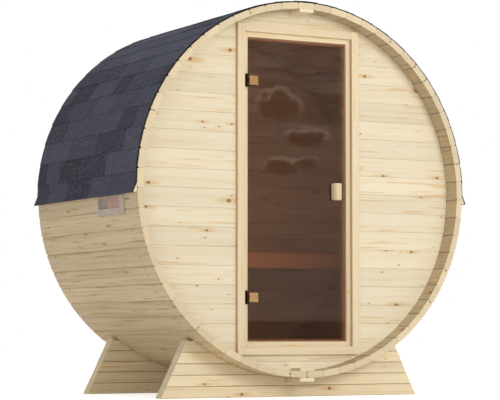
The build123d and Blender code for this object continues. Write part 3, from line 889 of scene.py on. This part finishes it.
def makeHingeLeaf(name, pinX, pinY, level):
    left, front = -halfWide - hinge["leafWide"], wallFront - hinge["leafThick"]
    halfLeaf, radius = hinge["leafTall"] / 2, hinge["knuckle"]
    start = hinge["middle"] / 2 + hinge["slack"]
    tall = halfLeaf - start
    plate = addBox("leafPlate", (left, front, level - halfLeaf), (-halfWide, wallFront, level + halfLeaf))
    bevelEdges(plate, hinge["leafCorner"], 3, along(axisY))
    made = [plate]
    for end in (-1, 1):
        middle = level + end * (start + tall / 2)
        knuckle = addRound("knuckle", radius, tall, (pinX, pinY, middle), hinge["knuckleSides"])
        bevelEdges(knuckle, hinge["knuckleEdge"], 2, notAlong(axisZ))
        webHalf = tall / 2 - hinge["knuckleEdge"]
        web = addBox("web", (pinX - radius, pinY, middle - webHalf),
                     (pinX + radius, wallFront - hair, middle + webHalf))
        bevelEdges(web, hinge["webEdge"])
        made += [knuckle, web]
    pin = addRound("pin", hinge["pin"], hinge["leafTall"] - hinge["pinShort"], (pinX, pinY, level), hinge["pinSides"])
    bevelEdges(pin, hinge["fineEdge"], 1, notAlong(axisZ))
    for end in (-1, 1):
        place = (left + hinge["screwIn"], front - hinge["screwSink"], level + end * hinge["screwApart"])
        head = addRound("leafScrew", hinge["screw"], hinge["screwTall"], place, hinge["screwSides"], lying=True)
        bevelEdges(head, hinge["fineEdge"], 2, notAlong(axisY))
        made.append(head)
    dress(tidyMesh(joinAll(made + [pin], name), hinge["smooth"]), darkBronze)


def makeHingeClamp(name, pinX, pinY, level):
    left = -halfWide + hinge["clampEdge"]
    right, front = left + hinge["clampWide"], glassFront - hinge["clampDeep"]
    low, high = level - hinge["clampTall"] / 2, level + hinge["clampTall"] / 2
    clamp = addBox("clampBlock", (left, front, low), (right, glassFront, high))
    bevelEdges(clamp, hinge["corner"], 4, along(axisY))
    bevelEdges(clamp, hinge["edge"], 2, below(front + hair, axisY), sharp)
    knuckle = addRound("clampKnuckle", hinge["knuckle"], hinge["middle"], (pinX, pinY, level), hinge["knuckleSides"])
    carve(knuckle, addRound("pinTool", hinge["pin"] + hinge["bore"], past, (pinX, pinY, level), hinge["pinSides"]))
    halfTongue, tongueTall = hinge["tongue"] / 2, hinge["middle"] / 2 - hair
    tongue = addBox("clampTongue", (pinX + hinge["knuckle"] - touch, pinY - halfTongue, level - tongueTall),
                    (left + hinge["tongueIn"], pinY + halfTongue, level + tongueTall))
    bevelEdges(tongue, hinge["fineEdge"])
    back = addBox("clampBack", (right - hinge["backWide"], glassBack, low),
                  (right, glassBack + hinge["backDeep"], high))
    bevelEdges(back, hinge["edge"], 2, above(glassBack + touch, axisY))
    piece = tidyMesh(joinAll([clamp, knuckle, tongue, back], name), hinge["smooth"])
    dark = [1.0 if face.center.x < left - hair else 0.0 for face in piece.data.polygons]
    mark(piece, "stain", "FACE", dark)  # the knuckle is as dark as the leaf's
    dress(piece, goldBronze, "door")


makeGlassLeaf()
makeGrips()
for word, side in (("upper", 1), ("lower", -1)):
    pin = (-halfWide - hinge["pinIn"], wallFront - hinge["leafThick"] - hinge["air"] - hinge["knuckle"],
           axisHeight + side * (halfTall - hinge["inset"]))
    makeHingeLeaf(f"{word}HingeLeaf", *pin)
    makeHingeClamp(f"{word}HingeClamp", *pin)
print("door made")

# Shingles: courses of tabs lapped down each side, the lowest flared over the eave batten, and a ridge strip
roof = {
    "courses": 13, "lastShare": 0.5, "lap": 0.5, "ridgeHalf": 0.075, "setBack": 0.006, "overhang": 0.004,
    "battenTop": 0.028, "battenTall": 0.050, "battenDeep": 0.020,
    "thin": 0.0070, "butt": 0.0098, "ply": 0.0026, "sunk": 0.0007, "flare": 0.001,
    "tab": 0.325, "cap": 0.30, "least": 0.06, "gap": 0.0016, "stagger": 0.5, "wander": 0.3,
    "stretch": (0.6, 0.85, 1.0, 1.0, 1.15), "darkShare": 0.35, "darkTones": (0.0, 0.3), "paleTones": (0.55, 1.0),
    "capTones": (0.2, 0.9), "seed": 90, "battenSeed": 95,
}
underTab = {"top": 0.0005, "middle": 0.0012, "batten": 0.0008, "eave": 0.0004}
ridgeTurn = asin((roof["ridgeHalf"] + barrel["seat"]) / barrel["radius"])
eaveTurn = staveTurn * barrel["eaveStave"]
battenTurn = eaveTurn + atan(roof["battenTop"] / outerFlat)
courseTurn = (battenTurn - ridgeTurn) / (roof["courses"] - 1 + roof["lastShare"])
roofFront, roofBack = barrelFront + roof["setBack"], barrelRear - roof["setBack"]


def polar(turn, rise):  # across and height, for an angle down from the top and a rise over the staves
    reach = barrel["radius"] + barrel["seat"] + rise
    return reach * sin(turn), axisHeight + reach * cos(turn)


def onEaveStave(down, out):
    reach = outerFlat + out
    return (reach * sin(eaveTurn) + down * cos(eaveTurn),
            axisHeight + reach * cos(eaveTurn) - down * sin(eaveTurn))


def tabStations(course, extra):  # upper and lower points at a tab's top, middle and butt
    start = ridgeTurn + course * courseTurn
    top = start - radians(roof["lap"])
    stations = [(polar(top, roof["thin"]), polar(top, underTab["top"]))]
    if course < roof["courses"] - 1:
        middle, stop = start + courseTurn / 2, start + courseTurn
        rise = (roof["thin"] + roof["butt"] + extra) / 2
        return stations + [
            (polar(middle, rise), polar(middle, underTab["middle"])),
            (polar(stop, roof["butt"] + extra), polar(stop, roof["butt"] - roof["ply"])),
        ]
    down = roof["battenTop"] + roof["battenTall"] + roof["overhang"]
    out = roof["battenDeep"] * (1 + roof["overhang"] / roof["battenTall"]) + barrel["seat"]
    return stations + [
        (polar(battenTurn, roof["thin"] + roof["flare"] + extra), polar(battenTurn, underTab["batten"])),
        (onEaveStave(down, out + roof["butt"] - roof["flare"] + extra), onEaveStave(down, out + underTab["eave"])),
    ]


def shapeTab(blank, name, stations, start, stop, side, tone):
    tab = copyOf(blank, name)
    for corner in tab.data.vertices:
        upper, lower = stations[round(2 * corner.co.x) + 1]
        across, height = upper if corner.co.z > 0 else lower
        corner.co = (side * across, stop if corner.co.y > 0 else start, height)
    mark(tab, "tone", "POINT", [tone] * len(tab.data.vertices))
    return tab


def finishTabs(tabs, name):
    piece = joinAll(tabs, name)
    mark(piece, "sawn", "FACE", [1.0 if abs(face.normal.y) > endOn else 0.0 for face in piece.data.polygons])
    dress(tidyMesh(piece), slateShingle)


def makeSlope(blank, word, side):
    chance = random.Random(roof["seed"] + side)
    made = []
    for course in range(roof["courses"]):
        edge = roofFront - roof["tab"] * (course % 2 * roof["stagger"] + chance.uniform(0, roof["wander"]))
        low = roofFront
        while low < roofBack:
            edge += roof["tab"] * chance.choice(roof["stretch"])
            if edge < low + roof["least"]:
                continue
            high = roofBack if edge > roofBack - roof["least"] else edge - roof["gap"]
            dark = chance.random() < roof["darkShare"]
            tone = chance.uniform(*roof["darkTones" if dark else "paleTones"])
            stations = tabStations(course, 0.0 if dark else -roof["sunk"])
            made.append(shapeTab(blank, f"{word}Tab{len(made)}", stations, low, high, side, tone))
            low = high + roof["gap"]
    finishTabs(made, f"{word}RoofShingles")


def makeRidge(blank):
    chance = random.Random(roof["seed"] + 7)
    stations = [(polar(turn, roof["butt"]), polar(turn, roof["thin"])) for turn in (-ridgeTurn, 0, ridgeTurn)]
    made = []
    edge = roofFront
    while edge < roofBack:
        stop = min(edge + roof["cap"], roofBack)
        tone = chance.uniform(*roof["capTones"])
        made.append(shapeTab(blank, f"cap{len(made)}", stations, edge, stop - roof["gap"], 1, tone))
        edge = stop
    finishTabs(made, "ridgeShingles")


def makeEaveBatten(word, side):
    batten = addBox(f"{word}EaveBatten", (-0.5, roofFront, -0.5), (0.5, roofBack, 0.5))
    bottom = roof["battenTop"] + roof["battenTall"]
    top, low, out = onEaveStave(roof["battenTop"], 0), onEaveStave(bottom, 0), onEaveStave(bottom, roof["battenDeep"])
    for corner in batten.data.vertices:
        across, height = top if corner.co.z > 0 else low if corner.co.x < 0 else out
        corner.co = (side * across, corner.co.y, height)
    finishBoard(batten, frameSpruce, axisY, axisZ, roof["battenSeed"] + side)


slopes = (("left", -1), ("right", 1))
tabBlank = addBox("tabBlank", (-0.5, -0.5, -0.5), (0.5, 0.5, 0.5))
cutAt(tabBlank, (0, 0, 0), (1, 0, 0))
for word, side in slopes:
    makeSlope(tabBlank, word, side)
makeRidge(tabBlank)
drop(tabBlank)
for word, side in slopes:
    makeEaveBatten(word, side)
print("roof made")

# Vent on the left side: a flat frame on its stave and a shutter in the front part of the opening
vent = {
    "railTop": 0.009, "railBottom": 0.038, "railFront": 0.060, "railBack": 0.014, "thick": 0.008, "edge": 0.0015,
    "shutter": 0.165, "shutterThick": 0.006, "shutterEdge": 0.001,
    "slats": 6, "slatHalf": 0.0046, "slatRise": 0.0055, "slatTop": 0.007, "slatThick": 0.0015, "smooth": 40,
}


def makeVent():
    face, spare = outerTop + vent["thick"], barrel["seat"]
    shutterEnd = ventFront + vent["shutter"]
    rim = addBox("ventFrame", (ventLow - vent["railBottom"], ventFront - vent["railFront"], outerTop),
                 (ventHigh + vent["railTop"], ventBack + vent["railBack"], face))
    carve(rim, ventTool())
    bevelEdges(rim, vent["edge"], 2, above(face - hair), sharp)
    made = [rim]
    slatTop = outerTop - vent["slatTop"]
    for number in range(vent["slats"]):  # slanting slats in the part that the shutter leaves open
        middle = ventLow + (number + 0.5) * ventOpening["height"] / vent["slats"]
        slat = addBox("ventSlat", (middle - vent["slatHalf"], shutterEnd, slatTop - vent["slatThick"]),
                      (middle + vent["slatHalf"], ventBack, slatTop))
        moveCorners(slat, lambda v: v.co.x > middle, (0, 0, vent["slatRise"]))
        made.append(slat)
    rim = joinAll(made, "ventFrame")
    shutter = addBox("ventShutter", (ventLow + spare, ventFront + spare, outerTop - vent["shutterThick"]),
                     (ventHigh - spare, shutterEnd - spare, outerTop))
    bevelEdges(shutter, vent["shutterEdge"], 2, above(outerTop - hair))
    for piece, finish in ((rim, ventLilac), (shutter, ventRed)):
        dress(tidyMesh(turnTo(piece, -stave["ventStave"]), vent["smooth"]), finish)


makeVent()
print("vent made")

# Inside: floor deck and bench
deck = {
    "step": 0.005, "wide": 0.096, "gap": 0.010, "thick": 0.028, "boards": 9, "round": 0.004, "endGap": 0.005,
    "seed": 300,
}
bench = {
    "height": 0.544, "wide": 0.110, "gap": 0.012, "thick": 0.028, "boards": 4, "wallGap": 0.004, "endGap": 0.003,
    "frontTall": 0.096, "frontThick": 0.028, "frontHalf": 1.2, "round": 0.005, "seed": 320, "frontSeed": 330,
}
deckTop = axisHeight - halfTall - deck["step"]
seatTop = deckTop + bench["height"]
seatBack = rearWallFront - bench["wallGap"]
seatPitch = bench["wide"] + bench["gap"]


def makeBoards(name, material, plans, top, thick, edge, segments, lengthways, sideways, seed):
    made = []
    for number, (left, right, front, back) in enumerate(plans):
        board = addBox(f"{name}{number}", (left, front, top - thick), (right, back, top))
        bevelEdges(board, edge, segments, above(top - touch))
        made.append(markGrain(board, lengthways, sideways, seed + number))
    dress(tidyMesh(joinAll(made, name), smoothTrim), material)


def makeDeck():
    front, back = wallFront + doorFrame["depth"] + deck["endGap"], rearWallFront - deck["endGap"]
    middles = [(number - (deck["boards"] - 1) / 2) * (deck["wide"] + deck["gap"]) for number in range(deck["boards"])]
    plans = [(middle - deck["wide"] / 2, middle + deck["wide"] / 2, front, back) for middle in middles]
    makeBoards("floorDeck", deckSpruce, plans, deckTop, deck["thick"], deck["round"], 2, axisY, axisX, deck["seed"])


def makeBench():
    half = sqrt(innerRadius ** 2 - (axisHeight - seatTop + bench["thick"]) ** 2) - bench["endGap"]
    backs = [seatBack - number * seatPitch for number in range(bench["boards"])]
    plans = [(-half, half, back - bench["wide"], back) for back in backs]
    makeBoards("benchSeat", benchSpruce, plans, seatTop, bench["thick"], bench["round"], 3, axisX, axisY, bench["seed"])
    back = seatBack - bench["boards"] * seatPitch
    apron = addBox("benchFrontBoard", (-bench["frontHalf"], back - bench["frontThick"], seatTop - bench["frontTall"]),
                   (bench["frontHalf"], back, seatTop))
    bevelEdges(apron, bench["round"], 3, along(axisX), below(back - touch, axisY))
    carve(apron, barrelTool(innerRadius, back), "INTERSECT")
    finishBoard(apron, benchSpruce, axisX, axisZ, bench["frontSeed"], smoothTrim)


makeDeck()
makeBench()
for node in ("floor_bearers", "bench_bearers", "bench_ledger"):  # these stay as CAD nodes
    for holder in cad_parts[node].material_slots:
        holder.material = innerSprucePlain
print("inside made")

# Camera, light and floor
shot = {"place": (-5.7732, -10.4660, 0.3766), "turn": (93.789, 0, -28.925), "lens": 142.60, "sensor": 36, "end": 200}
lamps = (  # name, place, target, size and power
    ("keyLamp", (1.6, -10.0, 4.2), (0, 0, 1.1), 4.0, 385.0),
    ("fillLamp", (-6.5, -6.0, 2.6), (0, 0, 1.0), 4.0, 60.0),
    ("backLamp", (4.0, 9.0, 4.5), (0, 0, 1.1), 5.0, 300.0),
)
studio = {"light": 0.50, "tint": (1, 0.97, 0.925, 1), "white": (1, 1, 1, 1)}
studioFloor = {"size": (60, 60, 1), "drop": 0.0005, "colour": (0.88, 0.85, 0.80, 1), "glow": 0.62}

# A painted card in front of the cabin, which only shows in gloss
skyCard = {
    "place": (8.0, -13.5, 4.0), "size": (16, 9, 1), "horizon": (0.49, 0.53),
    "dusk": (0.60, 0.42, 0.32, 1), "haze": (1.5, 1.08, 0.84, 1), "ground": (0.02, 0.01, 0.01, 1),
}
clouds = (  # across, height, half width and half height
    (7.28, 3.38, 0.25, 0.19), (7.73, 2.97, 0.33, 0.105), (7.30, 2.57, 0.22, 0.11), (7.67, 2.63, 0.19, 0.065),
)
cloudLayers = (  # lift, outer and inner edge, and colour of the lit rim and then the dark heart
    (0.2, 1.35, 1.0, (2.5, 1.8, 1.4, 1)), (-0.12, 1.2, 0.75, (0.24, 0.12, 0.08, 1)),
)


def makeCloudPaint():
    material, shader = newMaterial("cloudPaint")
    material.node_tree.nodes.remove(shader)
    place = objectPlace()
    level = addNode("SeparateXYZ", None, Vector=place).outputs["Z"]
    wisps = spread(noise(place, (1.28, 1.6, 9.6), 5.0, 0.6), 0.35, 0.68, -0.5, 0.5)
    wisps = times(wisps, spread(level, 2.7, 3.3, 0.4, 1.2))  # streakier higher up
    ruffle = spread(noise(place, 5.0, 5.0, 0.6), 0.25, 0.75, -0.5, 0.5)
    colour = mixColour(mathNode("ADD", wisps, 0.5, True), skyCard["dusk"], skyCard["haze"])
    for across, high, wide, tall in clouds:
        for lift, outer, inner, tint in cloudLayers:
            away = vectorNode("SUBTRACT", place, (across, 0, high + lift * tall))
            ragged = mathNode("ADD", lengthOf(away, (1 / wide, 0, 1 / tall)), ruffle)
            colour = mixColour(spread(ragged, outer, inner, 0.0, 0.95), colour, tint)
    colour = mixColour(spread(level, *skyCard["horizon"]), skyCard["ground"], colour)
    glow = addNode("Emission", None, Color=colour, Strength=1.0).outputs[0]
    feed(material.node_tree.nodes["Material Output"], Surface=glow)
    return material


def seenMask():  # what the camera sees itself, in gloss or through the glass
    path = addNode("LightPath").outputs
    indirect = mathNode("MAXIMUM", path["Is Glossy Ray"], path["Is Transmission Ray"])
    return mathNode("MAXIMUM", path["Is Camera Ray"], indirect)


def stand(name, data, place, turn):
    item = bpy.data.objects.new(name, data)
    bpy.context.scene.collection.objects.link(item)
    item.location, item.rotation_euler = place, turn
    return item


def addSheet(name, material, size, place, turn=(0, 0, 0)):
    clearSelection()
    bpy.ops.mesh.primitive_plane_add(size=1, location=place, rotation=turn)
    sheet = bpy.context.object
    sheet.scale = size
    settle(sheet, name).data.materials.append(material)
    return sheet


def makeStage():
    camera = bpy.data.cameras.new("photoCamera")
    camera.lens, camera.sensor_width, camera.clip_end = shot["lens"], shot["sensor"], shot["end"]
    turn = [radians(angle) for angle in shot["turn"]]
    bpy.context.scene.camera = stand("photoCamera", camera, shot["place"], turn)
    for name, place, target, size, power in lamps:
        lamp = bpy.data.lights.new(name, "AREA")
        lamp.energy, lamp.size, lamp.shape = power, size, "DISK"
        turn = (Vector(target) - Vector(place)).to_track_quat("-Z", "Y").to_euler()
        item = stand(name, lamp, place, turn)
        item.visible_glossy = item.visible_transmission = False

    material, shader = newMaterial("paleFloor")
    feed(shader, Base_Color=studioFloor["colour"], Roughness=0.9, Specular_IOR_Level=0.0,
         Emission_Color=studio["white"], Emission_Strength=times(seenMask(), studioFloor["glow"]))
    ground = addSheet("studioFloor", material, studioFloor["size"], (0, 0, -studioFloor["drop"]))

    card = addSheet("cloudCard", makeCloudPaint(), skyCard["size"], skyCard["place"], (pi / 2, 0, 0))
    card.visible_camera = card.visible_diffuse = card.visible_transmission = card.visible_shadow = False

    world = bpy.data.worlds.new("studio")
    bpy.context.scene.world = world
    world.use_nodes = True
    canvas["tree"] = world.node_tree
    seen = seenMask()
    feed(world.node_tree.nodes["Background"], Strength=spread(seen, 0.0, 1.0, studio["light"], 1.0),
         Color=mixColour(seen, studio["tint"], studio["white"]))
    bpy.context.scene.view_settings.view_transform = "Standard"


makeStage()
clearSelection()
